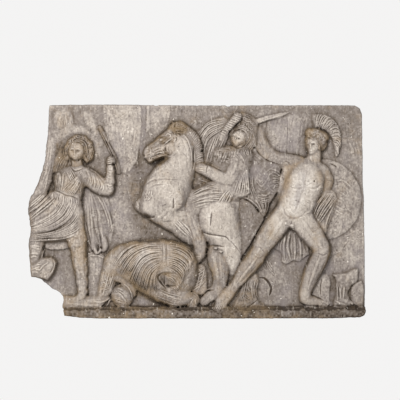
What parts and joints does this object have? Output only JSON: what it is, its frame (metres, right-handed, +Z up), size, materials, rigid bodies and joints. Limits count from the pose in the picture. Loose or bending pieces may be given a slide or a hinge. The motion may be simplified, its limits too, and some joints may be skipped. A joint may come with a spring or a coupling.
{
  "type": "plaster relief panel",
  "caption": "One-piece cast plaster relief panel with a ledge, a striding woman, a rider on a rearing horse, a fallen figure and a warrior; broken at the left end, flat back.",
  "frame": {"origin": "middle of the flat back face, where the panel is fixed to a wall", "axes": "+X along the panel to the viewer's right, +Z up, +Y out of the back into the wall; the relief faces -Y"},
  "size_m": [1.109, 0.105, 0.705],
  "materials": {
    "plaster": "old matte plaster with a warm grey wash, cream on the highest forms, dirt in the hollows"
  },
  "bodies": {
    "root": {"relief_panel": "plaster"}
  },
  "joints": []
}
